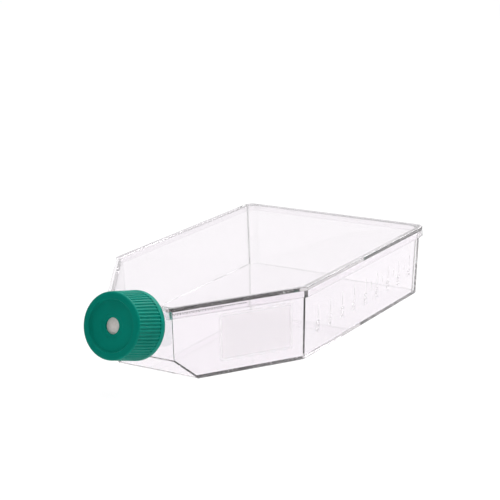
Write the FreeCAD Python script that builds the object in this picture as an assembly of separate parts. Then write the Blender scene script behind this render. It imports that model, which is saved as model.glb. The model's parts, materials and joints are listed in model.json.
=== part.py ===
import FreeCAD, Part
import math
import os
from FreeCAD import Placement, Rotation, Vector

# Cell culture flask for a 175 square centimetre growth surface, lying on its growth surface with the cap closed.
# It has four pieces: a clear tub moulded in one with its canted, threaded neck; a clear top plate with a skirt,
# welded on the tub's rim; a vented screw cap; and the filter membrane behind the cap's vent hole.
# Millimetres. +Z is up, the neck points to -Y, and +X is the side with the graduations. The origin is on the
# bench, in the middle of the closed flask's length and width.

# Plan of the rim, the outline of the top plate
RIM_WIDTH = 119.8
SIDE_LENGTH = 134.3  # the straight sides, from the rear end to the shoulder corners
SHOULDER_LENGTH = 62.6  # from the shoulder corners to the neck face, along Y
NECK_FACE_WIDTH = 37.8

# Heights and wall sections
FLASK_HEIGHT = 39.4
PLATE_THICKNESS = 2.25
SKIRT_HEIGHT = 5.5  # the whole edge of the plate, skirt included
WALL = 1.8
FLOOR = 1.5
TOP_INSET = 1.6  # from the rim's outline to the tub's outer wall, at the tub's rim
BASE_INSET = 3.3  # the same at the base, so the walls have draft
FRONT_STEP = 0.85  # how much further in the tub's front wall stands than its other walls
SKIRT_GAP = 0.15  # between the skirt and the tub's wall
NOTCH_GAP = 0.35  # between the plate's front edge and the neck or the cap

# Ramp from the base up to the neck face, which drains the flask towards its neck
RAMP_RUN = 10.6
RAMP_RISE = 11.2

# Corners
REAR_RIM_RADIUS = 5.5
FRONT_RIM_RADIUS = 2.0
RIM_RADIUS = 0.4  # the rim's shoulder corners
PLATE_EDGE_RADIUS = 0.25
REAR_WALL_RADIUS = 4.0
WALL_RADIUS = 0.4  # the tub's other upright outer corners
BASE_EDGE_RADIUS = 0.3
INNER_REAR_RADIUS = 6.0
INNER_RADIUS = 0.4

# Neck. Distances along its axis start where the axis meets the upright plane of the rim's front edge.
NECK_CANT = 16.0  # degrees above level
NECK_AXIS_HEIGHT = 28.28
NECK_RADIUS = 12.6
MOUTH_BORE_RADIUS = 10.6
ROOT_BORE_RADIUS = 8.5
ROOT_BORE_START = -9.4  # where the bore's cone starts, behind the front wall
MOUTH_EDGE_RADIUS = 0.5

# Screw cap
CAP_RADIUS = 17.4  # at its open end, over the ribs
CAP_FACE_RADIUS = 16.6  # the same at its face, so the side has draft
CAP_LENGTH = 20.9
CAP_OPEN_END = 1.6  # where the cap's open end is when closed, along the neck axis
CAP_EDGE_RADIUS = 1.2
CAP_BORE_RADIUS = 14.4
CAP_FACE_THICKNESS = 2.9
FACE_RECESS_DEPTH = 1.2
FACE_RECESS_RADIUS = 13.2
FACE_RECESS_SLOPE = 0.5  # how much narrower the recess is at its floor
VENT_BOSS_RADIUS = 6.3
VENT_BOSS_DEPTH = 0.2  # a shallow dish round the vent hole
VENT_RADIUS = 4.05
RIB_COUNT = 60
RIB_HEIGHT = 0.5
RIB_GROOVE_SHARE = 0.55  # of the pitch that is groove
OPEN_END_RING = 3.2  # smooth ring behind the ribs
SEAT_GAP = 0.05  # between the neck's mouth and the cap's inner face

# Thread, right-handed with one start
LEAD = 4.0
THREAD_TURNS = 2.0
THREAD_ROOT_WIDTH = 2.3
THREAD_CREST_WIDTH = 1.2
THREAD_SINK = 0.3  # how far a ridge's foot reaches into its wall
NECK_THREAD_CREST = 14.0
CAP_THREAD_CREST = 13.05
NECK_THREAD_START = 7.6
CAP_THREAD_START = 5.6

# Vent membrane, in a seat in the cap's inner face
MEMBRANE_RADIUS = 6.5
MEMBRANE_THICKNESS = 0.3
MEMBRANE_SIDE_GAP = 0.05

# Derived places
CAP_FRONT = CAP_OPEN_END + CAP_LENGTH
CAP_INNER_FACE = CAP_FRONT - CAP_FACE_THICKNESS
MOUTH = CAP_INNER_FACE - SEAT_GAP
CANT = math.radians(NECK_CANT)
CAP_DRAFT = (CAP_RADIUS - CAP_FACE_RADIUS) / CAP_LENGTH
EDGE_CENTRE = Vector(
    0,
    CAP_FACE_RADIUS + CAP_EDGE_RADIUS * (CAP_DRAFT - math.hypot(1, CAP_DRAFT)),
    CAP_FRONT - CAP_EDGE_RADIUS,
)
CAP_REACH = EDGE_CENTRE.z * math.cos(CANT) + EDGE_CENTRE.y * math.sin(CANT) + CAP_EDGE_RADIUS
BODY_LENGTH = SIDE_LENGTH + SHOULDER_LENGTH
FRONT_Y = CAP_REACH - (BODY_LENGTH + CAP_REACH) / 2
SHOULDER_Y = FRONT_Y + SHOULDER_LENGTH
REAR_Y = FRONT_Y + BODY_LENGTH
RIM_Z = FLASK_HEIGHT - PLATE_THICKNESS
NECK_FRAME = Placement(Vector(0, FRONT_Y, NECK_AXIS_HEIGHT), Rotation(Vector(1, 0, 0), 90 - NECK_CANT))
FAR = 400.0  # past the whole flask, for cutting tools


def plan_corners(inset, step=0.0):
    """The rim's six corners moved in by inset, as (x, y), anticlockwise from the front right one. The front side
    moves in by step more."""
    half, neck_half = RIM_WIDTH / 2, NECK_FACE_WIDTH / 2
    slope = math.atan2(SHOULDER_LENGTH, half - neck_half)
    side_shift = inset * (1 - math.sin(slope)) / math.cos(slope)
    front_shift = inset * (1 - math.cos(slope)) / math.sin(slope)
    right = [
        (neck_half - front_shift + step / math.tan(slope), FRONT_Y + inset + step),
        (half - inset, SHOULDER_Y + side_shift),
        (half - inset, REAR_Y - inset),
    ]
    return right + [(-x, y) for x, y in reversed(right)]


def plan_wire(inset, z, step=0.0):
    """The plan moved in by inset, and at the front by step more, as a closed wire at height z."""
    points = [Vector(x, y, z) for x, y in plan_corners(inset, step)]
    return Part.makePolygon(points + points[:1])


def draft_inset(z, more=0.0):
    """How far the tub's outer wall stands in from the rim's outline at height z, plus more."""
    return BASE_INSET + (TOP_INSET - BASE_INSET) * z / RIM_Z + more


def tub_block(low, high, more=0.0):
    """A solid with the tub's drafted sides between two heights, with its walls moved in by more."""
    wires = [plan_wire(draft_inset(z, more), z, FRONT_STEP) for z in (low, high)]
    return Part.makeLoft(wires, True, True)


def below_ramp(offset):
    """All that lies under the ramp's plane, which is moved up and inwards by offset."""
    foot_y = FRONT_Y + BASE_INSET + FRONT_STEP + RAMP_RUN
    rise = Vector(0, draft_inset(RAMP_RISE) - BASE_INSET - RAMP_RUN, RAMP_RISE)
    along = Vector(rise).normalize()
    inward = Vector(0, along.z, -along.y)
    foot = Vector(0, foot_y, 0) + inward * offset
    side = Vector(FAR / 2, 0, 0)
    sheet = Part.makePolygon([
        foot - along * FAR - side,
        foot + along * FAR - side,
        foot + along * FAR + side,
        foot - along * FAR + side,
        foot - along * FAR - side,
    ])
    return Part.Face(sheet).extrude(inward * -FAR)


def upright_edges(shape, *corners):
    """The edges that run up the shape's corners of the given kinds: front, shoulder or rear."""
    found = []
    for edge in shape.Edges:
        box = edge.BoundBox
        kind = "rear" if box.YMin > REAR_Y - 12 else "front" if box.YMax < FRONT_Y + 12 else "shoulder"
        if box.ZLength > 2 * math.hypot(box.XLength, box.YLength) and box.ZLength > 2 and kind in corners:
            found.append(edge)
    return found


def edges_near_height(shape, low, high):
    """The edges that lie wholly between two heights."""
    return [e for e in shape.Edges if e.BoundBox.ZMin >= low and e.BoundBox.ZMax <= high]


def turned(points):
    """The solid of revolution about Z of a closed profile of (radius, z) points."""
    wire = Part.makePolygon([Vector(r, 0, z) for r, z in points + points[:1]])
    return Part.Face(wire).revolve(Vector(0, 0, 0), Vector(0, 0, 1), 360)


def circle_edges(shape, radius, z):
    """The round edges of one radius at one height, on a shape turned about Z."""
    return [
        e for e in shape.Edges
        if isinstance(e.Curve, Part.Circle)
        and abs(e.Curve.Radius - radius) < 1e-4
        and abs(e.Curve.Center.z - z) < 1e-4
    ]


def thread_ridge(foot, crest, start):
    """One helical ridge about Z, from the radius of its foot to that of its crest. Its middle starts at height
    start, on the +X side, and climbs one lead a turn."""
    profile = Part.makePolygon([
        Vector(foot, 0, start - THREAD_ROOT_WIDTH / 2),
        Vector(crest, 0, start - THREAD_CREST_WIDTH / 2),
        Vector(crest, 0, start + THREAD_CREST_WIDTH / 2),
        Vector(foot, 0, start + THREAD_ROOT_WIDTH / 2),
        Vector(foot, 0, start - THREAD_ROOT_WIDTH / 2),
    ])
    path = Part.Wire(Part.makeLongHelix(LEAD, LEAD * THREAD_TURNS, foot).Edges)
    path.translate(Vector(0, 0, start))
    return path.makePipeShell([profile], True, True)


def tub_outside():
    """The tub's outer shape: drafted sides, a flat base, and the ramp at its front."""
    outer = tub_block(0, RIM_Z).cut(below_ramp(0))
    outer = outer.makeFillet(REAR_WALL_RADIUS, upright_edges(outer, "rear"))
    outer = outer.makeFillet(WALL_RADIUS, upright_edges(outer, "front", "shoulder"))
    return outer.makeFillet(BASE_EDGE_RADIUS, edges_near_height(outer, -0.01, 0.01))


def tub_inside():
    """The tub's hollow, which runs up past its rim."""
    inner = tub_block(FLOOR, RIM_Z + WALL, WALL).cut(below_ramp(FLOOR))
    inner = inner.makeFillet(INNER_REAR_RADIUS, upright_edges(inner, "rear"))
    inner = inner.makeFillet(INNER_RADIUS, upright_edges(inner, "front", "shoulder"))
    return inner.makeFillet(INNER_RADIUS, edges_near_height(inner, FLOOR - 0.01, FLOOR + 0.01))


def flask_body():
    """The tub with its neck, one moulding. The neck's top stands a little over the top plate, so over the tub's
    rim it stops at the wall's outer face."""
    neck = Part.makeCylinder(NECK_RADIUS, MOUTH + NECK_RADIUS, Vector(0, 0, -NECK_RADIUS))
    neck = neck.makeFillet(MOUTH_EDGE_RADIUS, circle_edges(neck, NECK_RADIUS, MOUTH))
    neck.Placement = NECK_FRAME
    over_rim = Part.makeBox(FAR, FAR, FAR, Vector(-FAR / 2, FRONT_Y + TOP_INSET + FRONT_STEP, RIM_Z))
    bore = Part.makeCone(
        ROOT_BORE_RADIUS, MOUTH_BORE_RADIUS, MOUTH - ROOT_BORE_START, Vector(0, 0, ROOT_BORE_START)
    )
    bore.Placement = NECK_FRAME
    thread = thread_ridge(NECK_RADIUS - THREAD_SINK, NECK_THREAD_CREST, NECK_THREAD_START)
    thread.Placement = NECK_FRAME
    body = tub_outside().fuse(neck.cut(over_rim)).cut(tub_inside()).cut(bore)
    return body.fuse(thread).removeSplitter()


def top_plate():
    """The flat top plate with its skirt round the tub's wall. Its front edge is notched round the neck, and gives
    way to the cap's open end."""
    low = FLASK_HEIGHT - SKIRT_HEIGHT
    blank = Part.Face(plan_wire(0, low)).extrude(Vector(0, 0, SKIRT_HEIGHT))
    for corner, radius in (("rear", REAR_RIM_RADIUS), ("front", FRONT_RIM_RADIUS), ("shoulder", RIM_RADIUS)):
        blank = blank.makeFillet(radius, upright_edges(blank, corner))
    blank = blank.makeFillet(
        PLATE_EDGE_RADIUS, edges_near_height(blank, FLASK_HEIGHT - 0.01, FLASK_HEIGHT + 0.01)
    )
    hollow = tub_block(low - WALL, RIM_Z, -SKIRT_GAP)
    hollow = hollow.makeFillet(REAR_WALL_RADIUS, upright_edges(hollow, "rear"))
    neck_room = Part.makeCylinder(NECK_RADIUS + NOTCH_GAP, MOUTH + NECK_RADIUS, Vector(0, 0, -NECK_RADIUS))
    neck_room.Placement = NECK_FRAME
    overhang = Part.makeBox(RIM_WIDTH, TOP_INSET + FRONT_STEP, FLASK_HEIGHT, Vector(-RIM_WIDTH / 2, FRONT_Y, 0))
    # The cap's open end seen from above is an ellipse, and the plate stops short of it, so that nothing of the
    # cap hangs over the plate and another flask can stand on it.
    across = CAP_RADIUS + NOTCH_GAP
    end_y = FRONT_Y - (CAP_OPEN_END - NOTCH_GAP) * math.cos(CANT)
    ellipse = Part.Ellipse(Vector(0, end_y, 0), across, across * math.sin(CANT))
    cap_room = Part.Face(Part.Wire(ellipse.toShape())).extrude(Vector(0, 0, FAR))
    return blank.cut(hollow).cut(neck_room.common(overhang)).cut(cap_room)


def rib_grooves():
    """The grooves between the cap's ribs, which follow its draft between the smooth rings at its two ends."""
    half_angle = math.pi / RIB_COUNT * RIB_GROOVE_SHARE
    ends = []
    for z in (CAP_OPEN_END + OPEN_END_RING, CAP_FRONT - CAP_EDGE_RADIUS - 0.2):
        crest = CAP_RADIUS - (z - CAP_OPEN_END) * CAP_DRAFT
        points = [
            Vector(crest * math.cos(half_angle), -crest * math.sin(half_angle), z),
            Vector(crest - RIB_HEIGHT, 0, z),
            Vector(crest * math.cos(half_angle), crest * math.sin(half_angle), z),
            Vector(crest + RIB_HEIGHT, 0, z),
        ]
        ends.append(Part.makePolygon(points + points[:1]))
    groove = Part.makeLoft(ends, True, True)
    grooves = []
    for number in range(RIB_COUNT):
        one = groove.copy()
        one.rotate(Vector(0, 0, 0), Vector(0, 0, 1), number * 360 / RIB_COUNT)
        grooves.append(one)
    return Part.Compound(grooves)


def screw_cap():
    """The cap: a ribbed skirt with an inner thread, and a recessed face with the vent hole in its middle."""
    recess = CAP_FRONT - FACE_RECESS_DEPTH
    cap = turned([
        (VENT_RADIUS, CAP_INNER_FACE),
        (CAP_BORE_RADIUS, CAP_INNER_FACE),
        (CAP_BORE_RADIUS, CAP_OPEN_END),
        (CAP_RADIUS, CAP_OPEN_END),
        (CAP_FACE_RADIUS, CAP_FRONT),
        (FACE_RECESS_RADIUS, CAP_FRONT),
        (FACE_RECESS_RADIUS - FACE_RECESS_SLOPE, recess),
        (VENT_BOSS_RADIUS, recess),
        (VENT_BOSS_RADIUS - VENT_BOSS_DEPTH, recess - VENT_BOSS_DEPTH),
        (VENT_RADIUS, recess - VENT_BOSS_DEPTH),
    ])
    cap = cap.makeFillet(CAP_EDGE_RADIUS, circle_edges(cap, CAP_FACE_RADIUS, CAP_FRONT))
    seat = Part.makeCylinder(
        MEMBRANE_RADIUS + MEMBRANE_SIDE_GAP, MEMBRANE_THICKNESS, Vector(0, 0, CAP_INNER_FACE)
    )
    thread = thread_ridge(CAP_BORE_RADIUS + THREAD_SINK, CAP_THREAD_CREST, CAP_THREAD_START)
    cap = cap.cut(seat).cut(rib_grooves()).fuse(thread)
    cap.Placement = NECK_FRAME
    return cap


def vent_membrane():
    """The filter disc in the seat behind the vent hole."""
    disc = Part.makeCylinder(MEMBRANE_RADIUS, MEMBRANE_THICKNESS, Vector(0, 0, CAP_INNER_FACE))
    disc.Placement = NECK_FRAME
    return disc


NODES = {
    "flask_body": flask_body,
    "top_plate": top_plate,
    "screw_cap": screw_cap,
    "vent_membrane": vent_membrane,
}

os.makedirs("parts", exist_ok=True)
for name, make in NODES.items():
    shape = make()
    solids = shape.Solids
    if len(solids) != 1 or not solids[0].isValid():
        raise ValueError(f"{name} is {len(solids)} solids, valid: {shape.isValid()}")
    solids[0].exportStep(f"parts/{name}.step")
    box = shape.BoundBox
    print(name, f"{shape.Volume / 1000:.3f} cm3", f"x {box.XMin:.2f} {box.XMax:.2f}",
          f"y {box.YMin:.2f} {box.YMax:.2f}", f"z {box.ZMin:.2f} {box.ZMax:.2f}")
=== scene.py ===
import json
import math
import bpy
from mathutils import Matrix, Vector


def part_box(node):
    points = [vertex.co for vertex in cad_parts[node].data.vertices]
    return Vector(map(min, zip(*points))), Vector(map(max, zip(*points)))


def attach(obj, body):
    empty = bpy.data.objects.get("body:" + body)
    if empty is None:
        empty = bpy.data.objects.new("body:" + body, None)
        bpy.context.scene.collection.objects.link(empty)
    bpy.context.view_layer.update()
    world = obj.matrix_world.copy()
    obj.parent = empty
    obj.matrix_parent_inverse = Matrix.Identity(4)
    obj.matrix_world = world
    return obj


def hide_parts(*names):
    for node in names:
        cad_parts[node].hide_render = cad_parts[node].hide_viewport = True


bl_info = {
    "name": "Cell culture flask",
    "version": (1, 0, 0),
    "blender": (4, 5, 0),
    "location": "3D View > Sidebar > Culture flask",
    "description": "Makes the clear tub and top plate, the vented screw cap, the marks and the stage",
    "category": "Object",
}

import bmesh
import bpy
from bpy.props import FloatProperty, FloatVectorProperty, IntProperty, PointerProperty
from mathutils import Matrix, Vector

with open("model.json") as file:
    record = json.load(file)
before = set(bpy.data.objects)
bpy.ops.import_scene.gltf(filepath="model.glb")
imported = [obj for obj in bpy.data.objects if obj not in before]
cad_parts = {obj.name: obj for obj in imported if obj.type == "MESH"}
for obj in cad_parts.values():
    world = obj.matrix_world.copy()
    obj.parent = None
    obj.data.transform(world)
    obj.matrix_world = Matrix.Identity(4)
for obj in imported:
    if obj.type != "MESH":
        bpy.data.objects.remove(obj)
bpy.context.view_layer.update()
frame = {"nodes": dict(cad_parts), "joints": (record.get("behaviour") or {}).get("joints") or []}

MM = 0.001
FLAT_ANGLE = math.radians(0.3)  # two faces within it are one plane
FLAT_AREA = 1e-4  # square metres that a large flat region has at least
WHITE = (1.0, 1.0, 1.0, 1.0)
AWAY = (-0.54, 0.8416, 0.0)  # the level direction in which the camera looks

# The neck's axis: where it meets the upright plane of the plate's front edge, and which way it points.
CAP_JOINT = next(j for j in frame["joints"] if j["name"] == "cap_turn")
NECK_POINT = Vector(CAP_JOINT["pos_m"])
NECK_AXIS = Vector(CAP_JOINT["axis"]).normalized()
NECK_TURN = Vector((0, 0, 1)).rotation_difference(NECK_AXIS).to_matrix().to_4x4()
NECK_FRAME = Matrix.Translation(NECK_POINT) @ NECK_TURN

PLATE_LOW, PLATE_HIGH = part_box("top_plate")

# Sizes of the clear shell that the frame's boxes don't tell
SHOULDER_LENGTH = 0.0626  # from the shoulder corners to the front edge, along Y
HALF_FRONT = 0.0189  # half the width of the front edge
PLATE_THICKNESS = 0.00225
BASE_INSET = 0.0033  # from the plate's outline to the tub's side and shoulder walls, at the bench
TOP_INSET = 0.0016  # the same at the tub's rim
SKIRT_GAP = 0.15 * MM  # between the plate's skirt and the tub's wall
RIM_DROP = 0.02 * MM  # keeps the tub's rim off the plate
AT_RIM = 0.01 * MM  # vertices this near the rim's height belong to the rim

FRONT_Y = PLATE_LOW[1]
REAR_Y = PLATE_HIGH[1]
SHOULDER_Y = FRONT_Y + SHOULDER_LENGTH
HALF_WIDTH = PLATE_HIGH[0]
RIM_Z = PLATE_HIGH[2] - PLATE_THICKNESS

# The cap's face and inside
HOLE_RADIUS = 4.05 * MM
MEMBRANE_RADIUS = 6.5 * MM
MEMBRANE_THICKNESS = 0.3 * MM
SEAT_GAP = 0.05 * MM  # between the membrane and its seat
BORE_RADIUS = 14.4 * MM
RECESS_DEPTH = 1.2 * MM
RECESS_RADIUS = 12.7 * MM
RECESS_RIM_RADIUS = 13.2 * MM
DISH_RADIUS = 6.1 * MM  # of the shallow dish round the hole
DISH_RIM_RADIUS = 6.3 * MM
DISH_DEPTH = 0.2 * MM
RIB_ROOT = 0.15 * MM  # how far a rib's foot reaches into the skirt
RIB_RUN = 0.3 * MM  # how far a rib's ends run into the smooth rings
RIB_RECESS = 0.02 * MM  # how much lower than the rings the ribs are

# The thread inside the cap
THREAD_LEAD = 4.0 * MM
THREAD_TURNS = 2.0
THREAD_CREST = 13.05 * MM
THREAD_FOOT = BORE_RADIUS + 0.1 * MM
THREAD_START = 4.0 * MM  # from the cap's open end
THREAD_STEPS = 48  # sections in a turn

# The marks on the side wall and the patch
LIFT = 0.01 * MM  # keeps their backs off the wall
SHORT_SHARE = 0.55  # length of a short graduation as a share of a long one
SHORT_COUNT = 4  # short graduations, halfway between the first long ones
NUMBER_DROP = 0.7 * MM  # from the graduations' lower ends down to the numbers' right ends
UNIT_Y = -8.8 * MM  # where "mL" stands
DIGIT_SHARE = 0.72  # height of a digit as a share of the font's size
PATCH_THICKNESS = 0.06 * MM
PATCH_CORNER = 1.5 * MM

# The weld flash
ROW_START = 1.5 * MM  # from the plate's front corner
GRAIN_THICKNESS = 0.11 * MM

# The stage
FLOOR_DROP = 0.2 * MM  # keeps the floor off the flask's base
PAPER = 0.9  # how much light the floor sends back
FLOOR_GLOW = 1.05  # strength of the floor's own white
FLOOR_GLOW_INSIDE = (0.1, 0.7)  # the same for light led inside plastic, before and behind the flask
FLOOR_GLOW_SHARE = 0.88  # how much of the floor is its own white, where the rest takes light and shadow
# How bright the studio's sides are, and how much less for diffuse light and for light led inside plastic
STUDIO_FRONT = (0.32, 0.28, 0.14)
STUDIO_BACK = (1.0, 0.0, 0.15)
STUDIO_CEILING = (1.0, 0.4, 0.65)


# ---------------------------------------------------------------- settings


class ClearPlasticSettings(bpy.types.PropertyGroup):
    tint: FloatVectorProperty(
        name="Tint", description="Colour that light takes on at each surface of the clear plastic",
        subtype="COLOR", size=3, min=0, max=1, default=(0.947, 0.925, 0.947),
    )
    refraction: FloatProperty(
        name="Refraction", description="Index of refraction of the clear plastic",
        min=1, max=2, default=1.59,
    )
    density: FloatProperty(
        name="Density", description="How fast light fades inside the plastic, per metre of its way",
        min=0, max=100, default=0.9,
    )
    ripple: FloatProperty(
        name="Ripple", description="Depth of the faint waves that moulding leaves on the walls",
        subtype="DISTANCE", unit="LENGTH", min=0, max=0.001, default=0.00001,
    )


class CapSettings(bpy.types.PropertyGroup):
    colour: FloatVectorProperty(
        name="Colour", description="Colour of the cap's plastic",
        subtype="COLOR", size=3, min=0, max=1, default=(0.0008, 0.225, 0.168),
    )
    radius: FloatProperty(
        name="Radius", description="Outer radius at the open end",
        subtype="DISTANCE", unit="LENGTH", min=0.005, max=0.05, default=0.0174,
    )
    face_radius: FloatProperty(
        name="Face radius", description="Outer radius at the face",
        subtype="DISTANCE", unit="LENGTH", min=0.005, max=0.05, default=0.0166,
    )
    open_end: FloatProperty(
        name="Open end", description="Place of the open end along the neck's axis",
        subtype="DISTANCE", unit="LENGTH", min=0, max=0.02, default=0.0016,
    )
    front: FloatProperty(
        name="Front", description="Place of the face along the neck's axis",
        subtype="DISTANCE", unit="LENGTH", min=0.01, max=0.06, default=0.0225,
    )
    face_thickness: FloatProperty(
        name="Face thickness", description="Thickness of the wall at the face",
        subtype="DISTANCE", unit="LENGTH", min=0.001, max=0.01, default=0.0029,
    )
    edge_radius: FloatProperty(
        name="Edge radius", description="Rounding between the skirt and the face",
        subtype="DISTANCE", unit="LENGTH", min=0.0001, max=0.005, default=0.0012,
    )
    ribs: IntProperty(name="Ribs", description="Number of ribs round the skirt", min=6, max=200, default=60)
    rib_height: FloatProperty(
        name="Rib height", description="How far a rib stands out of the skirt",
        subtype="DISTANCE", unit="LENGTH", min=0.0001, max=0.002, default=0.0005,
    )
    rib_width: FloatProperty(
        name="Rib width", description="Width of a rib at its foot",
        subtype="DISTANCE", unit="LENGTH", min=0.0002, max=0.003, default=0.00125,
    )
    ring: FloatProperty(
        name="Smooth ring", description="Length of the smooth ring behind the ribs",
        subtype="DISTANCE", unit="LENGTH", min=0, max=0.01, default=0.0032,
    )


class MarkSettings(bpy.types.PropertyGroup):
    count: IntProperty(name="Graduations", description="Number of long graduations", min=1, max=30, default=9)
    first: FloatProperty(
        name="First", description="Distance of the first graduation from the rear edge",
        subtype="DISTANCE", unit="LENGTH", min=0, max=0.1, default=0.0167,
    )
    pitch: FloatProperty(
        name="Pitch", description="Distance between two long graduations",
        subtype="DISTANCE", unit="LENGTH", min=0.001, max=0.05, default=0.01295,
    )
    volume_step: IntProperty(
        name="Volume step", description="Millilitres from one long graduation to the next",
        min=1, max=500, default=50,
    )
    low: FloatProperty(
        name="Low end", description="Height of the graduations' lower ends",
        subtype="DISTANCE", unit="LENGTH", min=0, max=0.04, default=0.0182,
    )
    length: FloatProperty(
        name="Length", description="Length of a long graduation",
        subtype="DISTANCE", unit="LENGTH", min=0.001, max=0.03, default=0.0074,
    )
    width: FloatProperty(
        name="Line width", description="Width of the raised lines",
        subtype="DISTANCE", unit="LENGTH", min=0.0001, max=0.002, default=0.00045,
    )
    relief: FloatProperty(
        name="Relief", description="How far the marks stand out of the wall",
        subtype="DISTANCE", unit="LENGTH", min=0.00001, max=0.001, default=0.00015,
    )
    digit_height: FloatProperty(
        name="Digit height", description="Height of the digits",
        subtype="DISTANCE", unit="LENGTH", min=0.001, max=0.01, default=0.0032,
    )


class PatchSettings(bpy.types.PropertyGroup):
    start: FloatProperty(
        name="Start", description="Distance of the patch from the shoulder's corner",
        subtype="DISTANCE", unit="LENGTH", min=0, max=0.05, default=0.007,
    )
    length: FloatProperty(
        name="Length", description="Length of the writing patch",
        subtype="DISTANCE", unit="LENGTH", min=0.01, max=0.06, default=0.0415,
    )
    low: FloatProperty(
        name="Low edge", description="Height of the patch's lower edge",
        subtype="DISTANCE", unit="LENGTH", min=0, max=0.03, default=0.0062,
    )
    high: FloatProperty(
        name="High edge", description="Height of the patch's upper edge",
        subtype="DISTANCE", unit="LENGTH", min=0.01, max=0.04, default=0.0328,
    )
    fade: FloatProperty(
        name="Fade", description="Width over which the frosting fades out at the patch's edges",
        subtype="DISTANCE", unit="LENGTH", min=0.0001, max=0.01, default=0.003,
    )
    cover: FloatProperty(
        name="Cover", description="Share of the wall that the frosting covers", min=0, max=1, default=0.5
    )


class WeldSettings(bpy.types.PropertyGroup):
    pitch: FloatProperty(
        name="Pitch", description="Distance between two grains of weld flash",
        subtype="DISTANCE", unit="LENGTH", min=0.0003, max=0.01, default=0.0012,
    )
    grain: FloatProperty(
        name="Grain", description="Length of a grain",
        subtype="DISTANCE", unit="LENGTH", min=0.0001, max=0.002, default=0.0009,
    )
    length: FloatProperty(
        name="Length", description="Length of the seam that shows grains, from the front corner",
        subtype="DISTANCE", unit="LENGTH", min=0.005, max=0.07, default=0.042,
    )


class StageSettings(bpy.types.PropertyGroup):
    floor_size: FloatProperty(
        name="Floor", description="Side of the floor",
        subtype="DISTANCE", unit="LENGTH", min=1, max=50, default=12,
    )
    lens: FloatProperty(
        name="Lens", description="Focal length in millimetres", subtype="DISTANCE_CAMERA", min=10, max=400,
        default=109.03,
    )
    camera_place: FloatVectorProperty(
        name="Camera", description="Place of the camera", subtype="TRANSLATION", unit="LENGTH", size=3,
        default=(0.4275, -0.647364, 0.26373),
    )
    camera_turn: FloatVectorProperty(
        name="Camera turn", description="Heading, downward tilt and roll of the camera",
        subtype="EULER", unit="ROTATION", size=3,
        default=(math.radians(-32.727), math.radians(15.766), math.radians(-1.599)),
    )


class FlaskSettings(bpy.types.PropertyGroup):
    plastic: PointerProperty(type=ClearPlasticSettings, name="Clear plastic", description="The clear plastic")
    cap: PointerProperty(type=CapSettings, name="Cap", description="The screw cap")
    marks: PointerProperty(type=MarkSettings, name="Marks", description="The graduations")
    patch: PointerProperty(type=PatchSettings, name="Patch", description="The writing patch")
    weld: PointerProperty(type=WeldSettings, name="Weld", description="The weld between tub and top plate")
    stage: PointerProperty(type=StageSettings, name="Stage", description="The floor, light and camera")


# ---------------------------------------------------------------- shader building


def node_maker(tree):
    """A function that adds a node to the tree, sets its properties, and sets or links its inputs."""

    def make(kind, inputs=None, **settings):
        node = tree.nodes.new(kind)
        for name, value in settings.items():
            setattr(node, name, value)
        for name, value in (inputs or {}).items():
            if isinstance(value, bpy.types.NodeSocket):
                tree.links.new(value, node.inputs[name])
            else:
                node.inputs[name].default_value = value
        return node

    return make


def maths(make, operation, *values, clamp=False):
    """The result of one sum on values and sockets."""
    return make("ShaderNodeMath", dict(enumerate(values)), operation=operation, use_clamp=clamp).outputs[0]


def ranged(make, value, given, wanted=(0.0, 1.0), kind="LINEAR"):
    """A value taken from one (low, high) range to another."""
    inputs = {"Value": value, "From Min": given[0], "From Max": given[1]}
    inputs.update({"To Min": wanted[0], "To Max": wanted[1]})
    return make("ShaderNodeMapRange", inputs, interpolation_type=kind).outputs[0]


def cloud(make, scale, detail, roughness=0.5, stretch=None):
    """Soft noise over the object, as a value. It is drawn out along an axis whose stretch is below 1."""
    place = make("ShaderNodeTexCoord").outputs["Object"]
    if stretch:
        place = make("ShaderNodeMapping", {"Vector": place, "Scale": stretch}).outputs[0]
    noise = make(
        "ShaderNodeTexNoise", {"Vector": place, "Scale": scale, "Detail": detail, "Roughness": roughness}
    )
    return noise.outputs["Fac"]


def blend(make, share, first, second):
    """A shader that goes from the first to the second with share."""
    return make("ShaderNodeMixShader", {0: share, 1: first.outputs[0], 2: second.outputs[0]}).outputs[0]


def new_group(name, inputs, outputs):
    """An empty shader node group with (name, kind, default) inputs and (name, kind) outputs."""
    group = bpy.data.node_groups.new(name, "ShaderNodeTree")
    for label, kind, default in inputs:
        group.interface.new_socket(label, in_out="INPUT", socket_type=kind).default_value = default
    for label, kind in outputs:
        group.interface.new_socket(label, in_out="OUTPUT", socket_type=kind)
    return group, node_maker(group)


def moulded_surface():
    """Faint flow waves and fine grain of a moulded plastic surface, as one height in metres."""
    name = "moulded_surface"
    if name in bpy.data.node_groups:
        return bpy.data.node_groups[name]
    group, make = new_group(
        name,
        [
            ("Wave size", "NodeSocketFloat", 0.03),
            ("Wave depth", "NodeSocketFloat", 0.00001),
            ("Grain size", "NodeSocketFloat", 0.0005),
            ("Grain depth", "NodeSocketFloat", 0.000001),
        ],
        [("Height", "NodeSocketFloat")],
    )
    given = make("NodeGroupInput")
    heights = []
    for size, depth, detail in (("Wave size", "Wave depth", 1.0), ("Grain size", "Grain depth", 2.0)):
        scale = maths(make, "DIVIDE", 1.0, given.outputs[size])
        heights.append(maths(make, "MULTIPLY", cloud(make, scale, detail), given.outputs[depth]))
    make("NodeGroupOutput", {"Height": maths(make, "ADD", *heights)})
    return group


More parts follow.
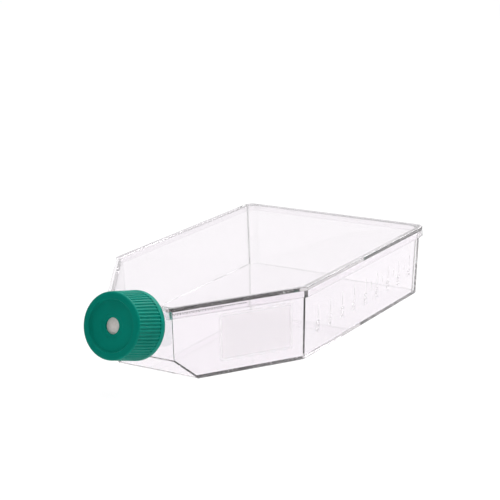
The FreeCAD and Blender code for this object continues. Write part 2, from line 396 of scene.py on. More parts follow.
def handling_marks():
    """Smudges and hairline rubs of handling, as a mask that is mostly black."""
    name = "handling_marks"
    if name in bpy.data.node_groups:
        return bpy.data.node_groups[name]
    group, make = new_group(
        name,
        [
            ("Smudge size", "NodeSocketFloat", 0.02),
            ("Rub size", "NodeSocketFloat", 0.003),
            ("Amount", "NodeSocketFloat", 0.5),
        ],
        [("Mask", "NodeSocketFloat")],
    )
    given = make("NodeGroupInput")
    coarse = maths(make, "DIVIDE", 1.0, given.outputs["Smudge size"])
    fine = maths(make, "DIVIDE", 1.0, given.outputs["Rub size"])
    smudges = ranged(make, cloud(make, coarse, 3.0, roughness=0.55), (0.52, 0.75))
    rubs = ranged(make, cloud(make, fine, 2.0, roughness=0.6, stretch=(1.0, 0.08, 1.0)), (0.6, 0.72))
    both = maths(make, "MAXIMUM", smudges, rubs)
    make("NodeGroupOutput", {"Mask": maths(make, "MULTIPLY", both, given.outputs["Amount"], clamp=True)})
    return group


def moulded_normal(make, waves, grain):
    """The normal of a moulded surface. Its waves and its grain are each given by size and depth in metres."""
    texture = {
        "Wave size": waves[0], "Wave depth": waves[1], "Grain size": grain[0], "Grain depth": grain[1],
    }
    surface = make("ShaderNodeGroup", texture, node_tree=moulded_surface())
    bump = make("ShaderNodeBump", {"Strength": 1.0, "Distance": 1.0, "Height": surface.outputs["Height"]})
    return bump.outputs["Normal"]


def worn_roughness(make, smudge, rub, clean, worn):
    """The roughness of a surface, which goes from clean to worn where smudges and rubs of a size are."""
    sizes = {"Smudge size": smudge, "Rub size": rub, "Amount": 1.0}
    wear = make("ShaderNodeGroup", sizes, node_tree=handling_marks())
    return ranged(make, wear.outputs["Mask"], (0.0, 1.0), (clean, worn))


def new_material(name):
    material = bpy.data.materials.new(name)
    material.use_nodes = True
    material.node_tree.nodes.clear()
    return material, node_maker(material.node_tree)


def clear_plastic(name, settings):
    """Clear moulded polystyrene. Light fades on a long way inside it, so that its edges are dark. Lamps shine
    through it."""
    material, make = new_material(name)
    plastic = make(
        "ShaderNodeBsdfPrincipled",
        {
            "Base Color": tuple(settings.tint) + (1.0,), "Metallic": 0.0,
            "Roughness": worn_roughness(make, smudge=0.03, rub=0.004, clean=0.0, worn=0.03),
            "IOR": settings.refraction, "Transmission Weight": 1.0,
            "Normal": moulded_normal(make, waves=(0.035, settings.ripple), grain=(0.0008, 0.0)),
        },
    )
    through = make("ShaderNodeBsdfTransparent", {"Color": (0.95, 0.94, 0.95, 1.0)})
    path = make("ShaderNodeLightPath")
    fade = make("ShaderNodeVolumeAbsorption", {"Color": (0.16, 0.02, 0.04, 1.0), "Density": settings.density})
    make(
        "ShaderNodeOutputMaterial",
        {"Surface": blend(make, path.outputs["Is Shadow Ray"], plastic, through), "Volume": fade.outputs[0]},
    )
    return material


def cap_plastic(settings):
    """Satin moulded polyethylene of the screw cap."""
    material, make = new_material("green_polyethylene")
    tone = ranged(make, cloud(make, 90.0, 3.0), (0.3, 0.7))
    base = tuple(settings.colour)
    darker = tuple(0.93 * c for c in base) + (1.0,)
    lighter = tuple(1.05 * c for c in base) + (1.0,)
    colour = make("ShaderNodeMix", {0: tone, 6: darker, 7: lighter}, data_type="RGBA")
    plastic = make(
        "ShaderNodeBsdfPrincipled",
        {
            "Base Color": colour.outputs[2], "Metallic": 0.0,
            "Roughness": worn_roughness(make, smudge=0.008, rub=0.001, clean=0.38, worn=0.5),
            "IOR": 1.52, "Specular IOR Level": 0.04,
            "Normal": moulded_normal(make, waves=(0.006, 0.00003), grain=(0.0004, 0.000006)),
        },
    )
    make("ShaderNodeOutputMaterial", {"Surface": plastic.outputs[0]})
    return material


# ---------------------------------------------------------------- mesh building


def put_in_scene(mesh, name):
    piece = bpy.data.objects.new(name, mesh)
    bpy.context.scene.collection.objects.link(piece)
    return piece


def remove_piece(name):
    """Removes an earlier piece of this name, so that its button can be pressed again."""
    old = bpy.data.objects.get(name)
    if old is not None:
        bpy.data.objects.remove(old, do_unlink=True)


def merged_copy(node, name):
    """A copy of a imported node's mesh, with its loose triangles joined, as a new object."""
    mesh = frame["nodes"][node].data.copy()
    mesh.name = name
    shell = bmesh.new()
    shell.from_mesh(mesh)
    bmesh.ops.remove_doubles(shell, verts=shell.verts, dist=1e-7)
    bmesh.ops.dissolve_degenerate(shell, edges=shell.edges, dist=1e-7)
    shell.to_mesh(mesh)
    shell.free()
    mesh.materials.clear()
    return put_in_scene(mesh, name)


def flat_regions(shell):
    """The normal of each face of a mesh that is part of a large flat region, by face index."""
    found = {}
    seen = set()
    for first in shell.faces:
        if first in seen:
            continue
        seen.add(first)
        region, border = [first], [first]
        while border:
            for edge in border.pop().edges:
                for face in edge.link_faces:
                    if face not in seen and first.normal.angle(face.normal, 0) < FLAT_ANGLE:
                        seen.add(face)
                        region.append(face)
                        border.append(face)
        if sum(face.calc_area() for face in region) > FLAT_AREA:
            found.update({face.index: first.normal.copy() for face in region})
    return found


def smooth_round_flats(piece, angle):
    """Smooth shading within an angle, in which each large flat region keeps its own normal up to its edges,
    so that light goes through it as through a true plane."""
    shell = bmesh.new()
    shell.from_mesh(piece.data)
    flat = flat_regions(shell)
    normals = []
    for face in shell.faces:
        for vertex in face.verts:
            if face.index in flat:
                normals.append(flat[face.index])
                continue
            near, border = {face}, [face]
            while border:
                for edge in border.pop().edges:
                    if vertex not in edge.verts or edge.calc_face_angle(math.pi) > angle:
                        continue
                    for other in edge.link_faces:
                        if other not in near:
                            near.add(other)
                            border.append(other)
            flats = [flat[other.index] for other in near if other.index in flat]
            if flats:
                normals.append(min(flats, key=lambda normal: normal.angle(face.normal, 0)))
            else:
                mean = sum((other.normal * other.calc_area() for other in near), Vector())
                normals.append(mean.normalized())
    shell.free()
    piece.data.shade_smooth()
    piece.data.normals_split_custom_set(normals)


def turned_mesh(profile, segments):
    """A closed (radius, height) profile turned about Z, as a bmesh with its faces outwards."""
    made = bmesh.new()
    rings = []
    for step in range(segments):
        angle = 2 * math.pi * step / segments
        c, s = math.cos(angle), math.sin(angle)
        rings.append([made.verts.new((r * c, r * s, z)) for r, z in profile])
    count = len(profile)
    for step in range(segments):
        here, there = rings[step], rings[(step + 1) % segments]
        for i in range(count):
            j = (i + 1) % count
            made.faces.new((here[i], there[i], there[j], here[j]))
    bmesh.ops.recalc_face_normals(made, faces=made.faces)
    return made


def rounded_profile(corners, steps=5):
    """A closed profile with its (radius, height, rounding) corners replaced by arcs."""
    points = []
    count = len(corners)
    for i, (r, z, rounding) in enumerate(corners):
        here = Vector((r, z))
        if rounding <= 0:
            points.append(tuple(here))
            continue
        back = (Vector(corners[i - 1][:2]) - here).normalized()
        ahead = (Vector(corners[(i + 1) % count][:2]) - here).normalized()
        half = back.angle(ahead) / 2
        reach = rounding / math.tan(half)
        start, end = here + back * reach, here + ahead * reach
        centre = here + (back + ahead).normalized() * (rounding / math.sin(half))
        first, last = start - centre, end - centre
        sweep = first.angle_signed(last)
        for step in range(steps + 1):
            turn = Matrix.Rotation(-sweep * step / steps, 2)
            points.append(tuple(centre + turn @ first))
    return points


def swept_mesh(sections):
    """Faces between equal rings of points, with flat ends."""
    made = bmesh.new()
    rings = [[made.verts.new(p) for p in ring] for ring in sections]
    count = len(rings[0])
    for here, there in zip(rings, rings[1:]):
        for i in range(count):
            j = (i + 1) % count
            made.faces.new((here[i], here[j], there[j], there[i]))
    made.faces.new(list(reversed(rings[0])))
    made.faces.new(rings[-1])
    bmesh.ops.recalc_face_normals(made, faces=made.faces)
    return made


def mesh_from(made, name):
    mesh = bpy.data.meshes.new(name)
    made.to_mesh(mesh)
    made.free()
    return mesh


def smooth_piece(mesh, name, finish, sharp):
    """A mesh as a piece of one finish, smooth but for edges sharper than an angle in degrees."""
    mesh.materials.clear()
    mesh.materials.append(finish)
    piece = put_in_scene(mesh, name)
    mesh.shade_smooth()
    mesh.set_sharp_from_angle(angle=math.radians(sharp))
    return piece


def joined_mesh(meshes, name):
    """One mesh of several, which are removed."""
    made = bmesh.new()
    for mesh in meshes:
        made.from_mesh(mesh)
        bpy.data.meshes.remove(mesh)
    return mesh_from(made, name)


# ---------------------------------------------------------------- repeated shapes


def new_geometry_tree(name, inputs):
    """An empty Geometry Nodes tree with a geometry in and out and the named inputs."""
    tree = bpy.data.node_groups.new(name, "GeometryNodeTree")
    tree.is_modifier = True
    tree.interface.new_socket("Geometry", in_out="INPUT", socket_type="NodeSocketGeometry")
    tree.interface.new_socket("Geometry", in_out="OUTPUT", socket_type="NodeSocketGeometry")
    for label, kind, default in inputs:
        socket = tree.interface.new_socket(label, in_out="INPUT", socket_type=kind)
        if default is not None:
            socket.default_value = default
    return tree, node_maker(tree)


def close_tree(make, given, copies):
    """Ends a tree: its copies made real, with their finish."""
    real = make("GeometryNodeRealizeInstances", {"Geometry": copies.outputs[0]})
    finish = make(
        "GeometryNodeSetMaterial", {"Geometry": real.outputs[0], "Material": given.outputs["Finish"]}
    )
    make("NodeGroupOutput", {"Geometry": finish.outputs[0]})


def round_the_axis():
    """A tree that sets copies of one shape round Z at equal angles."""
    name = "round_the_axis"
    if name in bpy.data.node_groups:
        return bpy.data.node_groups[name]
    tree, make = new_geometry_tree(
        name, [("Count", "NodeSocketInt", 60), ("Finish", "NodeSocketMaterial", None)]
    )
    given = make("NodeGroupInput")
    points = make("GeometryNodeMeshLine", {"Count": given.outputs["Count"], "Offset": (0.0, 0.0, 0.0)})
    index = make("GeometryNodeInputIndex")
    pitch = maths(make, "DIVIDE", 2 * math.pi, given.outputs["Count"])
    turn = make("ShaderNodeCombineXYZ", {"Z": maths(make, "MULTIPLY", index.outputs[0], pitch)})
    rotation = make("FunctionNodeEulerToRotation", {"Euler": turn.outputs[0]})
    copies = make(
        "GeometryNodeInstanceOnPoints",
        {"Points": points.outputs[0], "Instance": given.outputs["Geometry"], "Rotation": rotation.outputs[0]},
    )
    close_tree(make, given, copies)
    return tree


def along_a_line():
    """A tree that sets copies of one shape along a straight line at equal steps."""
    name = "along_a_line"
    if name in bpy.data.node_groups:
        return bpy.data.node_groups[name]
    tree, make = new_geometry_tree(
        name,
        [
            ("Count", "NodeSocketInt", 8),
            ("Start", "NodeSocketVector", (0.0, 0.0, 0.0)),
            ("Step", "NodeSocketVector", (0.0, 0.01, 0.0)),
            ("Finish", "NodeSocketMaterial", None),
        ],
    )
    given = make("NodeGroupInput")
    points = make(
        "GeometryNodeMeshLine",
        {
            "Count": given.outputs["Count"], "Start Location": given.outputs["Start"],
            "Offset": given.outputs["Step"],
        },
    )
    copies = make(
        "GeometryNodeInstanceOnPoints",
        {"Points": points.outputs[0], "Instance": given.outputs["Geometry"]},
    )
    close_tree(make, given, copies)
    return tree


def made_real(holder):
    """The mesh that an object shows, with its modifiers or its text applied."""
    return bpy.data.meshes.new_from_object(holder.evaluated_get(bpy.context.evaluated_depsgraph_get()))


def repeated(mesh, tree, values):
    """The mesh that a tree makes of a mesh, with the tree's inputs set by name. The given mesh is removed."""
    holder = put_in_scene(mesh, mesh.name + "_one")
    modifier = holder.modifiers.new("Repeat", "NODES")
    modifier.node_group = tree
    for item in tree.interface.items_tree:
        if item.item_type == "SOCKET" and item.in_out == "INPUT" and item.name in values:
            modifier[item.identifier] = values[item.name]
    made = made_real(holder)
    holder.modifiers.clear()
    bpy.data.objects.remove(holder, do_unlink=True)
    bpy.data.meshes.remove(mesh)
    return made


# ---------------------------------------------------------------- pieces


def wall_plane(start, end, top, bottom):
    """The frame of a wall's outer face: its origin at start on the bench, X along it, Y up it, Z outwards.
    start and end are (x, y) corners seen from above, top and bottom the insets at the rim and the base."""
    along = (Vector((*end, 0)) - Vector((*start, 0))).normalized()
    outwards = Vector((along.y, -along.x, 0))
    lean = Vector((0, 0, RIM_Z)) + outwards * (bottom - top)
    up = lean.normalized()
    normal = along.cross(up).normalized()
    origin = Vector((*start, 0)) - outwards * bottom
    turn = Matrix((along, up, normal)).transposed().to_4x4()
    return Matrix.Translation(origin) @ turn


FRONT_CORNER = (HALF_FRONT, FRONT_Y)
SHOULDER_CORNER = (HALF_WIDTH, SHOULDER_Y)
SIDE_WALL = wall_plane(SHOULDER_CORNER, (HALF_WIDTH, REAR_Y), TOP_INSET, BASE_INSET)
SHOULDER_WALL = wall_plane(FRONT_CORNER, SHOULDER_CORNER, TOP_INSET, BASE_INSET)
SHOULDER_EDGE = wall_plane(FRONT_CORNER, SHOULDER_CORNER, 0.0, 0.0)  # the plate's edge over that wall


class ClearShell(bpy.types.Operator):
    """Makes the clear tub with its neck and the clear top plate"""

    bl_idname = "culture_flask.clear_shell"
    bl_label = "Tub and top plate"

    def execute(self, context):
        settings = context.scene.culture_flask.plastic
        for node, name, slot, finish in (
            ("flask_body", "clear_tub", "clear_body", "clear_polystyrene_tub"),
            ("top_plate", "clear_top_plate", "clear_plate", "clear_polystyrene_plate"),
        ):
            remove_piece(name)
            piece = merged_copy(node, name)
            if node == "flask_body":
                for vertex in piece.data.vertices:
                    if abs(vertex.co.z - RIM_Z) < AT_RIM:
                        vertex.co.z -= RIM_DROP
            smooth_round_flats(piece, angle=math.radians(35))
            piece.data.materials.append(clear_plastic(finish, settings))
            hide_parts(node)
            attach(piece, "flask")
        return {"FINISHED"}


class WeldFlash(bpy.types.Operator):
    """Makes the grains of weld flash under the top plate's shoulder edges"""

    bl_idname = "culture_flask.weld_flash"
    bl_label = "Weld flash"

    def execute(self, context):
        weld = context.scene.culture_flask.weld
        remove_piece("weld_flash")
        finish = self.flash()
        parts = []
        in_the_gap = SKIRT_GAP / 2 - TOP_INSET
        # The lower row is finer, sparser and shorter.
        for pitch, drop, size, length in (
            (weld.pitch, 1.05 * MM, weld.grain, weld.length),
            (1.37 * weld.pitch, 1.7 * MM, 0.75 * weld.grain, 0.7 * weld.length),
        ):
            parts.append(repeated(
                mesh_from(self.grain(size), "grain"),
                along_a_line(),
                {
                    "Count": int(length / pitch),
                    "Start": (ROW_START, RIM_Z - drop, in_the_gap),
                    "Step": (pitch, 0.0, 0.0),
                    "Finish": finish,
                },
            ))
        one = joined_mesh(parts, "weld_flash")
        other = one.copy()
        one.transform(SHOULDER_EDGE)
        other.transform(Matrix.Diagonal((-1.0, 1.0, 1.0, 1.0)) @ SHOULDER_EDGE)
        other.flip_normals()
        mesh = joined_mesh([one, other], "weld_flash")
        mesh.materials.clear()
        mesh.materials.append(finish)
        piece = put_in_scene(mesh, "weld_flash")
        mesh.shade_smooth()
        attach(piece, "flask")
        return {"FINISHED"}

    def grain(self, size):
        """A flat grain that fits between the skirt and the tub's wall."""
        made = bmesh.new()
        bmesh.ops.create_icosphere(made, subdivisions=2, radius=0.5)
        for vertex in made.verts:
            x, y, z = vertex.co
            vertex.co = (x * size, 0.7 * y * size, z * GRAIN_THICKNESS)
        return made

    def flash(self):
        """Plastic that the weld has pressed out, cloudy. Its near-black colour is painted shade, standing in
        for the dark look that refraction gives the clear grains.
        """
        material, make = new_material("weld_flash")
        share = ranged(make, cloud(make, 450.0, 2.0), (0.35, 0.65), (0.55, 1.0))
        # The near-black base colour is painted shade: clear grains look dark only by how they bend light.
        plastic = make(
            "ShaderNodeBsdfPrincipled",
            {"Base Color": (0.07, 0.06, 0.06, 1.0), "Metallic": 0.0, "Roughness": 0.45, "IOR": 1.59},
        )
        through = make("ShaderNodeBsdfTransparent", {"Color": WHITE})
        make("ShaderNodeOutputMaterial", {"Surface": blend(make, share, through, plastic)})
        return material


class ScrewCap(bpy.types.Operator):
    """Makes the ribbed screw cap with its recessed face, vent hole and inner thread"""

    bl_idname = "culture_flask.screw_cap"
    bl_label = "Screw cap"

    def execute(self, context):
        cap = context.scene.culture_flask.cap
        remove_piece("ribbed_cap")
        finish = cap_plastic(cap)
        recess = cap.front - RECESS_DEPTH
        inner = cap.front - cap.face_thickness
        seat = inner + MEMBRANE_THICKNESS + SEAT_GAP
        ribs_low = cap.open_end + cap.ring
        ribs_high = cap.front - cap.edge_radius - 0.2 * MM
        draft = (cap.radius - cap.face_radius) / (cap.front - cap.open_end)
        crests = [cap.radius - draft * (z - cap.open_end) for z in (ribs_low, ribs_high)]
        roots = [crest - cap.rib_height for crest in crests]
        profile = rounded_profile([
            (HOLE_RADIUS, seat, 0),
            (MEMBRANE_RADIUS + SEAT_GAP, seat, 0),
            (MEMBRANE_RADIUS + SEAT_GAP, inner, 0),
            (BORE_RADIUS, inner, 0.5 * MM),
            (BORE_RADIUS, cap.open_end, 0.25 * MM),
            (cap.radius, cap.open_end, 0.3 * MM),
            (crests[0], ribs_low, 0.12 * MM),
            (roots[0], ribs_low, 0.12 * MM),
            (roots[1], ribs_high, 0.12 * MM),
            (crests[1], ribs_high, 0.12 * MM),
            (cap.face_radius, cap.front, cap.edge_radius),
            (RECESS_RIM_RADIUS, cap.front, 0.3 * MM),
            (RECESS_RADIUS, recess, 0.4 * MM),
            (DISH_RIM_RADIUS, recess, 0.1 * MM),
            (DISH_RADIUS, recess - DISH_DEPTH, 0.1 * MM),
            (HOLE_RADIUS, recess - DISH_DEPTH, 0.15 * MM),
        ])
        shell = mesh_from(turned_mesh(profile, segments=240), "cap_shell")
        ribs = repeated(
            mesh_from(self.rib(cap, crests, (ribs_low, ribs_high)), "cap_rib"),
            round_the_axis(),
            {"Count": cap.ribs, "Finish": finish},
        )
        thread = mesh_from(self.thread(cap), "cap_thread")
        mesh = joined_mesh([shell, ribs, thread], "ribbed_cap")
        mesh.transform(NECK_FRAME)
        piece = smooth_piece(mesh, "ribbed_cap", finish, sharp=40)
        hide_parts("screw_cap")
        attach(piece, "cap")
        return {"FINISHED"}

    def rib(self, cap, crests, heights):
        """One rib on the +X side, between the smooth rings at the skirt's two ends, into which it runs."""
        half = cap.rib_width / 2
        sink = cap.rib_height + RIB_ROOT
        rising = [(1.0, sink), (0.72, 0.5 * cap.rib_height), (0.36, 0.1 * cap.rib_height)]
        section = [(-share * half, -depth) for share, depth in rising] + [(0.0, 0.0)]
        section += [(share * half, -depth) for share, depth in reversed(rising)]
        ends = ((crests[0], heights[0] - RIB_RUN), (crests[1], heights[1] + RIB_RUN))
        return swept_mesh([
            [(crest - RIB_RECESS + out, side, z) for side, out in section] for crest, z in ends
        ])

    def thread(self, cap):
        """The ridge inside the cap that runs on the neck's thread."""
        start = cap.open_end + THREAD_START
        rings = []
        steps = int(THREAD_STEPS * THREAD_TURNS)
        for step in range(steps + 1):
            turned = THREAD_TURNS * step / steps
            angle = 2 * math.pi * turned
            z = start + THREAD_LEAD * turned
            rise = min(1.0, step / 6, (steps - step) / 6)
            top = THREAD_FOOT + (THREAD_CREST - THREAD_FOOT) * (0.1 + 0.9 * rise)
            rings.append([
                (r * math.cos(angle), r * math.sin(angle), z + dz * MM)
                for r, dz in ((THREAD_FOOT, -1.1), (top, -0.6), (top, 0.6), (THREAD_FOOT, 1.1))
            ])
        return swept_mesh(rings)


class VentMembrane(bpy.types.Operator):
    """Makes the filter disc behind the vent hole"""

    bl_idname = "culture_flask.vent_membrane"
    bl_label = "Vent membrane"

    def execute(self, context):
        cap = context.scene.culture_flask.cap
        remove_piece("filter_disc")
        low = cap.front - cap.face_thickness
        high = low + MEMBRANE_THICKNESS
        middle = 0.0008 * MM  # its points are merged into one below
        profile = rounded_profile([
            (middle, low, 0), (MEMBRANE_RADIUS, low, 0), (MEMBRANE_RADIUS, high, 0.1 * MM), (middle, high, 0),
        ], steps=3)
        made = turned_mesh(profile, segments=96)
        bmesh.ops.remove_doubles(made, verts=made.verts, dist=0.005 * MM)
        bmesh.ops.recalc_face_normals(made, faces=made.faces)
        mesh = mesh_from(made, "filter_disc")
        mesh.transform(NECK_FRAME)
        piece = smooth_piece(mesh, "filter_disc", self.fibres(), sharp=40)
        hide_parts("vent_membrane")
        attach(piece, "vent")
        return {"FINISHED"}

    def fibres(self):
        """Matted fibres of the filter."""
        material, make = new_material("matted_filter")
        tone = ranged(make, cloud(make, 700.0, 4.0), (0.3, 0.7))
        place = make("ShaderNodeTexCoord")
        strands = make(
            "ShaderNodeTexVoronoi",
            {"Vector": place.outputs["Object"], "Scale": 2600.0},
            feature="DISTANCE_TO_EDGE",
        )
        colour = make(
            "ShaderNodeMix",
            {0: tone, 6: (0.78, 0.72, 0.69, 1.0), 7: (0.90, 0.85, 0.82, 1.0)},
            data_type="RGBA",
        )
        bump = make(
            "ShaderNodeBump", {"Strength": 0.6, "Distance": 0.00008, "Height": strands.outputs["Distance"]}
        )
        plastic = make(
            "ShaderNodeBsdfPrincipled",
            {
                "Base Color": colour.outputs[2], "Metallic": 0.0, "Roughness": 0.9, "IOR": 1.35,
                "Normal": bump.outputs["Normal"],
            },
        )
        make("ShaderNodeOutputMaterial", {"Surface": plastic.outputs[0]})
        return material


class Graduations(bpy.types.Operator):
    """Makes the raised graduations and their numbers on the side wall"""

    bl_idname = "culture_flask.graduations"
    bl_label = "Graduations"

    def execute(self, context):
        settings = context.scene.culture_flask
        marks = settings.marks
        remove_piece("graduation_lines")
        remove_piece("graduation_numbers")
        finish = raised_plastic()
        start = REAR_Y - marks.first
        parts = []
        for length, count, begin in (
            (marks.length, marks.count, start),
            (SHORT_SHARE * marks.length, SHORT_COUNT, start - 0.5 * marks.pitch),
        ):
            ridge = self.ridge(marks.width, length, marks.relief)
            parts.append(repeated(
                mesh_from(ridge, "ridge"),
                along_a_line(),
                {
                    "Count": count,
                    "Start": (begin - SHOULDER_Y, marks.low, 0.0),
                    "Step": (-marks.pitch, 0.0, 0.0),
                    "Finish": finish,
                },
            ))
        lines = joined_mesh(parts, "graduation_lines")
        self.place(lines, "graduation_lines", finish)
        texts = []
        for step in range(marks.count):
            volume = marks.volume_step * (step + 1)
            texts.append(self.words(str(volume), marks, start - marks.pitch * step))
        texts.append(self.words("mL", marks, UNIT_Y))
        numbers = joined_mesh(texts, "graduation_numbers")
        self.place(numbers, "graduation_numbers", finish)
        return {"FINISHED"}

    def ridge(self, width, length, relief):
        """A low rounded ridge on the wall's plane, from its lower end up."""
        rings = []
        for share, scale in ((0.0, 0.35), (0.04, 0.8), (0.1, 1.0), (0.9, 1.0), (0.96, 0.8), (1.0, 0.35)):
            half, high = width / 2 * scale, relief * scale
            rings.append([
                (-half, share * length, LIFT), (-0.7 * half, share * length, 0.75 * high),
                (0.0, share * length, high), (0.7 * half, share * length, 0.75 * high),
                (half, share * length, LIFT),
            ])
        return swept_mesh(rings)

    def words(self, text, marks, y):
        """Raised text that reads up the wall and ends under the graduations, on the wall's plane."""
        curve = bpy.data.curves.new("digits", "FONT")
        curve.body = text
        curve.size = marks.digit_height / DIGIT_SHARE
        curve.extrude = marks.relief / 2
        curve.align_x = "RIGHT"
        curve.align_y = "CENTER"
        curve.space_character = 1.05
        curve.resolution_u = 3
        holder = bpy.data.objects.new("digits", curve)
        bpy.context.scene.collection.objects.link(holder)
        mesh = made_real(holder)
        bpy.data.objects.remove(holder, do_unlink=True)
        bpy.data.curves.remove(curve)
        place = Matrix.Translation((y - SHOULDER_Y, marks.low - NUMBER_DROP, marks.relief / 2 + LIFT))
        mesh.transform(place @ Matrix.Rotation(math.radians(90), 4, "Z"))
        return mesh

    def place(self, mesh, name, finish):
        mesh.transform(SIDE_WALL)
        piece = smooth_piece(mesh, name, finish, sharp=35)
        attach(piece, "flask")


def raised_plastic():
    """The marks' slightly matt clear plastic."""
    material, make = new_material("raised_polystyrene")
    plastic = make(
        "ShaderNodeBsdfPrincipled",
        {
            "Base Color": (0.80, 0.78, 0.80, 1.0), "Metallic": 0.0, "Roughness": 0.35, "IOR": 1.59,
            "Transmission Weight": 1.0,
            "Normal": moulded_normal(make, waves=(0.002, 0.00001), grain=(0.0002, 0.000004)),
        },
    )
    through = make("ShaderNodeBsdfTransparent", {"Color": (0.97, 0.97, 0.97, 1.0)})
    path = make("ShaderNodeLightPath")
    share = maths(make, "MAXIMUM", path.outputs["Is Shadow Ray"], 0.7)
    make("ShaderNodeOutputMaterial", {"Surface": blend(make, share, plastic, through)})
    return material


class WritingPatch(bpy.types.Operator):
    """Makes the frosted patch for writing on the shoulder wall"""

    bl_idname = "culture_flask.writing_patch"
    bl_label = "Writing patch"

    def execute(self, context):
        patch = context.scene.culture_flask.patch
        remove_piece("writing_patch")
        wall_length = (Vector(SHOULDER_CORNER) - Vector(FRONT_CORNER)).length
        right = wall_length - patch.start
        left = right - patch.length
        near, far = left + PATCH_CORNER, right - PATCH_CORNER
        low, high = patch.low + PATCH_CORNER, patch.high - PATCH_CORNER
        outline = []
        for x, y, first in ((far, low, -90), (far, high, 0), (near, high, 90), (near, low, 180)):
            for step in range(7):
                angle = math.radians(first + 15 * step)
                outline.append((x + PATCH_CORNER * math.cos(angle), y + PATCH_CORNER * math.sin(angle)))
        rings = [[(x, y, z) for x, y in outline] for z in (LIFT, LIFT + PATCH_THICKNESS)]
        mesh = mesh_from(swept_mesh(rings), "writing_patch")
        mesh.transform(SHOULDER_WALL)
        mesh.materials.append(self.frosting(patch, left, right))
        piece = put_in_scene(mesh, "writing_patch")
        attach(piece, "flask")
        return {"FINISHED"}

    def frosting(self, patch, left, right):
        """A fine etched face on clear plastic, which can be seen through and fades out towards its edges."""
        material, make = new_material("etched_frosting")
        place = make("ShaderNodeTexCoord")
        plastic = make(
            "ShaderNodeBsdfPrincipled",
            {
                "Base Color": (0.93, 0.92, 0.92, 1.0), "Metallic": 0.0,
                "Roughness": ranged(make, cloud(make, 120.0, 3.0), (0.0, 1.0), (0.45, 0.65)),
                "IOR": 1.4, "Transmission Weight": 1.0,
                "Normal": moulded_normal(make, waves=(0.004, 0.00002), grain=(0.00025, 0.00001)),
            },
        )
        cover = patch.cover
        for axis, low, high in ((0, left, right), (1, patch.low, patch.high)):
            direction = Vector(SHOULDER_WALL.col[axis][:3])
            shift = SHOULDER_WALL.translation.dot(direction)
            along = make(
                "ShaderNodeVectorMath", {0: place.outputs["Object"], 1: direction}, operation="DOT_PRODUCT"
            ).outputs["Value"]
            for start, end in ((low, low + patch.fade), (high, high - patch.fade)):
                edge = ranged(make, along, (start + shift, end + shift), kind="SMOOTHSTEP")
                cover = maths(make, "MULTIPLY", cover, edge)
        path = make("ShaderNodeLightPath")
        lit = maths(make, "SUBTRACT", 1.0, path.outputs["Is Shadow Ray"])
        through = make("ShaderNodeBsdfTransparent", {"Color": WHITE})
        seen = blend(make, maths(make, "MULTIPLY", cover, lit), through, plastic)
        make("ShaderNodeOutputMaterial", {"Surface": seen})
        return material


# ---------------------------------------------------------------- stage


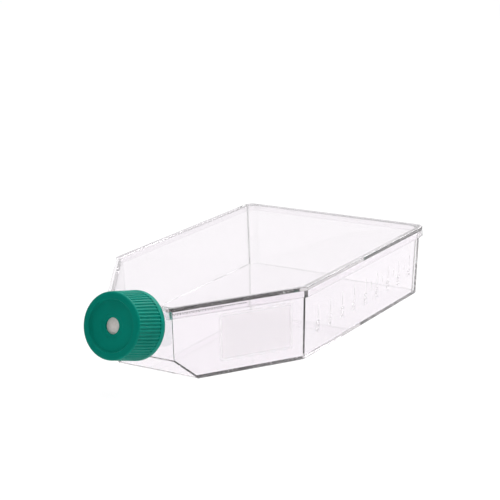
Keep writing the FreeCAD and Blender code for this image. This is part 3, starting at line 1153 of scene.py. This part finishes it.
class Stage(bpy.types.Operator):
    """Makes the pale floor, the studio light and the camera"""

    bl_idname = "culture_flask.stage"
    bl_label = "Floor, light and camera"

    def execute(self, context):
        stage = context.scene.culture_flask.stage
        self.floor(stage)
        self.surroundings(context.scene)
        self.lamps()
        self.camera(context.scene, stage)
        context.scene.view_settings.view_transform = "Standard"
        cycles = context.scene.cycles
        cycles.max_bounces = 64
        cycles.transmission_bounces = 32
        cycles.glossy_bounces = 64
        cycles.transparent_max_bounces = 24
        return {"FINISHED"}

    def floor(self, stage):
        remove_piece("stage_floor")
        made = bmesh.new()
        bmesh.ops.create_grid(made, x_segments=8, y_segments=8, size=stage.floor_size / 2)
        mesh = mesh_from(made, "stage_floor")
        mesh.transform(Matrix.Translation((0, 0, -FLOOR_DROP)))
        material, make = new_material("pale_floor")
        path = make("ShaderNodeLightPath")
        place = make("ShaderNodeTexCoord")
        behind = self.how_far_behind(make, place.outputs["Object"])
        inside = ranged(make, behind, (-0.05, 0.1), FLOOR_GLOW_INSIDE, kind="SMOOTHSTEP")
        strength = make(
            "ShaderNodeMix", {0: self.led_inside(make, path), 2: FLOOR_GLOW, 3: inside}, data_type="FLOAT"
        )
        paper = make("ShaderNodeBsdfDiffuse", {"Color": (PAPER, PAPER, PAPER, 1.0)})
        glow = make("ShaderNodeEmission", {"Color": WHITE, "Strength": strength.outputs[0]})
        looked_at = path.outputs["Is Camera Ray"]
        for kind in ("Is Glossy Ray", "Is Transmission Ray"):
            looked_at = maths(make, "MAXIMUM", looked_at, path.outputs[kind])
        share = maths(make, "MULTIPLY", looked_at, FLOOR_GLOW_SHARE)
        make("ShaderNodeOutputMaterial", {"Surface": blend(make, share, paper, glow)})
        mesh.materials.append(material)
        put_in_scene(mesh, "stage_floor")

    def led_inside(self, make, path):
        """1 for light mirrored twice or more, as it is when plastic leads it along, or else 0."""
        return maths(make, "GREATER_THAN", path.outputs["Glossy Depth"], 1.5)

    def brightness(self, make, path, level, less_diffuse, less_inside):
        """How bright a side of the studio is for the light that meets it."""
        diffuse = maths(make, "MULTIPLY_ADD", path.outputs["Is Diffuse Ray"], -less_diffuse, level)
        return maths(make, "MULTIPLY_ADD", self.led_inside(make, path), -less_inside, diffuse)

    def how_far_behind(self, make, place):
        """How far a place lies, or a direction points, past the flask as the camera sees it."""
        return make("ShaderNodeVectorMath", {0: place, 1: AWAY}, operation="DOT_PRODUCT").outputs["Value"]

    def surroundings(self, scene):
        """White behind the object and wherever one looks straight through it. What is mirrored shows a studio
        with a bright back, a bright ceiling and a darker front, all of them dimmer for light that the plastic
        has led along inside."""
        world = bpy.data.worlds.new("studio_surroundings")
        scene.world = world
        world.use_nodes = True
        world.node_tree.nodes.clear()
        make = node_maker(world.node_tree)
        place = make("ShaderNodeTexCoord")
        path = make("ShaderNodeLightPath")
        front = self.brightness(make, path, *STUDIO_FRONT)
        back = self.brightness(make, path, *STUDIO_BACK)
        top = self.brightness(make, path, *STUDIO_CEILING)
        behind = self.how_far_behind(make, place.outputs["Generated"])
        walls = ranged(make, behind, (-0.15, 0.35), (front, back), kind="SMOOTHSTEP")
        height = make("ShaderNodeSeparateXYZ", {0: place.outputs["Generated"]}).outputs["Z"]
        ceiling = ranged(make, height, (0.45, 0.75), (0.0, top), kind="SMOOTHSTEP")
        studio = maths(make, "MAXIMUM", walls, ceiling)
        straight = maths(make, "LESS_THAN", path.outputs["Glossy Depth"], 0.5)
        seen = maths(make, "ADD", path.outputs["Is Camera Ray"], path.outputs["Is Transmission Ray"])
        seen = maths(make, "MULTIPLY", seen, straight, clamp=True)
        light = make("ShaderNodeBackground", {"Color": maths(make, "MAXIMUM", studio, seen), "Strength": 1.0})
        make("ShaderNodeOutputWorld", {"Surface": light.outputs[0]})

    def lamps(self):
        for name, place, aim, size, power in (
            ("overhead_softbox", (0.1, 0.25, 1.3), (0.0, 0.0, 0.0), 1.1, 12.0),
            ("rear_softbox", (0.15, 0.9, 0.75), (0.0, -0.1, 0.03), 0.5, 8.0),
        ):
            remove_piece(name)
            light = bpy.data.lights.new(name, "AREA")
            light.shape = "SQUARE"
            light.size = size
            light.energy = power
            lamp = bpy.data.objects.new(name, light)
            bpy.context.scene.collection.objects.link(lamp)
            lamp.location = place
            lamp.rotation_euler = (Vector(place) - Vector(aim)).to_track_quat("Z", "Y").to_euler()

    def camera(self, scene, stage):
        remove_piece("stage_camera")
        data = bpy.data.cameras.new("stage_camera")
        data.lens = stage.lens
        data.sensor_width = 36
        data.clip_start, data.clip_end = 0.01, 100
        camera = bpy.data.objects.new("stage_camera", data)
        scene.collection.objects.link(camera)
        heading, tilt, roll = stage.camera_turn
        reach = math.cos(tilt)
        ahead = Vector((math.sin(heading) * reach, math.cos(heading) * reach, -math.sin(tilt)))
        level = Vector((math.cos(heading), -math.sin(heading), 0))
        upright = level.cross(ahead)
        right = math.cos(roll) * level + math.sin(roll) * upright
        up = -math.sin(roll) * level + math.cos(roll) * upright
        turn = Matrix((right, up, -ahead)).transposed().to_4x4()
        camera.matrix_world = Matrix.Translation(Vector(stage.camera_place)) @ turn
        scene.camera = camera


# ---------------------------------------------------------------- panel


class FlaskPanel(bpy.types.Panel):
    bl_idname = "VIEW3D_PT_culture_flask"
    bl_label = "Culture flask"
    bl_space_type = "VIEW_3D"
    bl_region_type = "UI"
    bl_category = "Culture flask"

    def draw(self, context):
        settings = context.scene.culture_flask
        for group, operator in (
            ("plastic", ClearShell), ("weld", WeldFlash), ("cap", ScrewCap), (None, VentMembrane),
            ("marks", Graduations), ("patch", WritingPatch), ("stage", Stage),
        ):
            box = self.layout.box()
            if group:
                values = getattr(settings, group)
                for name in values.bl_rna.properties.keys():
                    if name not in ("rna_type", "name"):
                        box.prop(values, name)
            box.operator(operator.bl_idname)


CLASSES = (
    ClearPlasticSettings, CapSettings, MarkSettings, PatchSettings, WeldSettings, StageSettings,
    FlaskSettings, ClearShell, WeldFlash, ScrewCap, VentMembrane, Graduations, WritingPatch, Stage,
    FlaskPanel,
)


def register():
    for one in CLASSES:
        bpy.utils.register_class(one)
    bpy.types.Scene.culture_flask = PointerProperty(type=FlaskSettings)


def unregister():
    del bpy.types.Scene.culture_flask
    for one in reversed(CLASSES):
        bpy.utils.unregister_class(one)


def main():
    register()
    bpy.ops.culture_flask.stage()
    bpy.ops.culture_flask.clear_shell()
    bpy.ops.culture_flask.weld_flash()
    bpy.ops.culture_flask.screw_cap()
    bpy.ops.culture_flask.vent_membrane()
    bpy.ops.culture_flask.graduations()
    bpy.ops.culture_flask.writing_patch()


if __name__ == "__main__":
    main()
